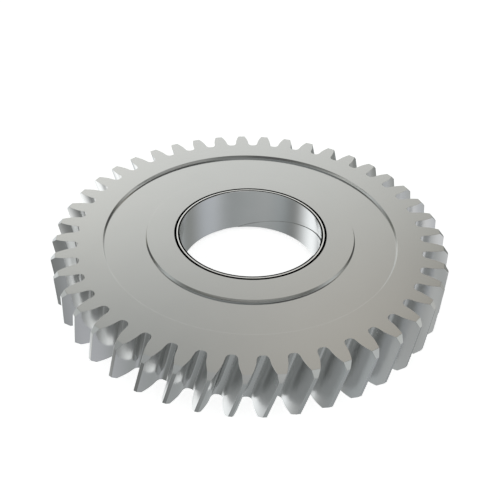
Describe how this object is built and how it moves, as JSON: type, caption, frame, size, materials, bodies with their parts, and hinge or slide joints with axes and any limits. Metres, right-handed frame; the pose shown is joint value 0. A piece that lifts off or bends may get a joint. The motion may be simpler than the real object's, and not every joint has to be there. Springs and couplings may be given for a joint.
{
  "type": "gear wheel",
  "caption": "Helical gear wheel with deep teeth chamfered at both ends, a shallow recess in each face, and a plain bush with an oil groove pressed into its bore.",
  "frame": {"origin": "on the bore's axis, in the plane of the wheel's lower faces", "axes": "+Z along the bore's axis, from the lower face to the upper face; the teeth are right-handed about it"},
  "size_m": [0.1906, 0.1906, 0.025],
  "materials": {
    "wheel_steel": "ground and satin machined steel, light grey",
    "bush_steel": "smooth turned bore, light blue-grey, with dark edges at both ends"
  },
  "bodies": {
    "root": {"gear_wheel": "wheel_steel", "bush": "bush_steel"}
  },
  "joints": []
}
